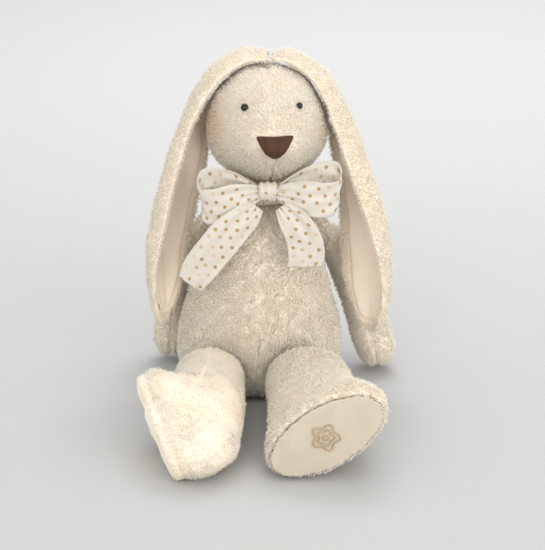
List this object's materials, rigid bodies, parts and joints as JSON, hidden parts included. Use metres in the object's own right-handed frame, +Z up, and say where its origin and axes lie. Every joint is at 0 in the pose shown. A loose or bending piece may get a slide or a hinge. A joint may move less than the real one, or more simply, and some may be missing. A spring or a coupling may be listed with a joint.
{
  "type": "stuffed bunny rabbit",
  "caption": "Seated lop-eared plush bunny with lined hanging ears, a stitched nose, bead eyes, a dotted ribbon bow and soft limbs.",
  "frame": {"origin": "centre of the flat seat panel, on the surface the bunny sits on", "axes": "+Z up, the bunny faces -Y, +X towards the bunny's own left side"},
  "size_m": [0.1821, 0.24, 0.2436],
  "materials": {
    "plush": "matte",
    "lining": "satin",
    "velour": "matte",
    "ribbon_satin": "satin",
    "nose_thread": "satin",
    "motif_thread": "satin",
    "eye_bead": "gloss",
    "stuffing": "matte"
  },
  "bodies": {
    "torso": {"torso_front_left": "plush", "torso_front_right": "plush", "torso_back_left": "plush", "torso_back_right": "plush", "torso_seat": "plush", "torso_filling": "stuffing", "ribbon_neck_band": "ribbon_satin", "ribbon_knot": "ribbon_satin", "ribbon_loop_left": "ribbon_satin", "ribbon_loop_right": "ribbon_satin"},
    "head": {"face_left": "plush", "face_right": "plush", "head_back": "plush", "head_filling": "stuffing", "nose": "nose_thread", "eye_left": "eye_bead", "eye_right": "eye_bead"},
    "ear_left": {"ear_left_outer": "plush", "ear_left_lining": "lining"},
    "ear_right": {"ear_right_outer": "plush", "ear_right_lining": "lining"},
    "arm_left": {"arm_left_outer": "plush", "arm_left_inner": "plush", "arm_left_filling": "stuffing"},
    "arm_right": {"arm_right_outer": "plush", "arm_right_inner": "plush", "arm_right_filling": "stuffing"},
    "leg_left": {"leg_left_outer": "plush", "leg_left_inner": "plush", "sole_left": "velour", "leg_left_filling": "stuffing", "sole_motif_left": "motif_thread"},
    "leg_right": {"leg_right_outer": "plush", "leg_right_inner": "plush", "sole_right": "velour", "leg_right_filling": "stuffing"},
    "tail_left": {"ribbon_tail_left": "ribbon_satin"},
    "tail_right": {"ribbon_tail_right": "ribbon_satin"}
  },
  "joints": [
    {"name": "head_nod", "type": "hinge", "parent": "torso", "child": "head", "pos_m": [0.004, -0.006, 0.152], "axis": [1, 0, 0], "range_deg": [-8, 1.5], "stiffness_Nm_per_rad": 0.4},
    {"name": "ear_left_lift", "type": "hinge", "parent": "head", "child": "ear_left", "pos_m": [0.0138, 0.008, 0.2385], "axis": [0, -1, 0], "range_deg": [0, 80]},
    {"name": "ear_right_lift", "type": "hinge", "parent": "head", "child": "ear_right", "pos_m": [0.0042, 0.008, 0.2385], "axis": [0, 1, 0], "range_deg": [0, 80]},
    {"name": "arm_left_raise", "type": "hinge", "parent": "torso", "child": "arm_left", "pos_m": [0.0485, 0.021, 0.117], "axis": [0, -1, 0], "range_deg": [0, 70]},
    {"name": "arm_right_raise", "type": "hinge", "parent": "torso", "child": "arm_right", "pos_m": [-0.045, 0.021, 0.117], "axis": [0, 1, 0], "range_deg": [0, 70]},
    {"name": "leg_left_swing", "type": "hinge", "parent": "torso", "child": "leg_left", "pos_m": [0.036, -0.061, 0.024], "axis": [-1, 0, 0], "range_deg": [0, 35]},
    {"name": "leg_right_swing", "type": "hinge", "parent": "torso", "child": "leg_right", "pos_m": [-0.034, -0.061, 0.0235], "axis": [-1, 0, 0], "range_deg": [0, 35]},
    {"name": "ribbon_tail_left_swing", "type": "hinge", "parent": "torso", "child": "tail_left", "pos_m": [0.017, -0.0512, 0.1485], "axis": [-1, 0, 0], "range_deg": [0, 20]},
    {"name": "ribbon_tail_right_swing", "type": "hinge", "parent": "torso", "child": "tail_right", "pos_m": [-0.0005, -0.0512, 0.1485], "axis": [-1, 0, 0], "range_deg": [0, 30]}
  ]
}
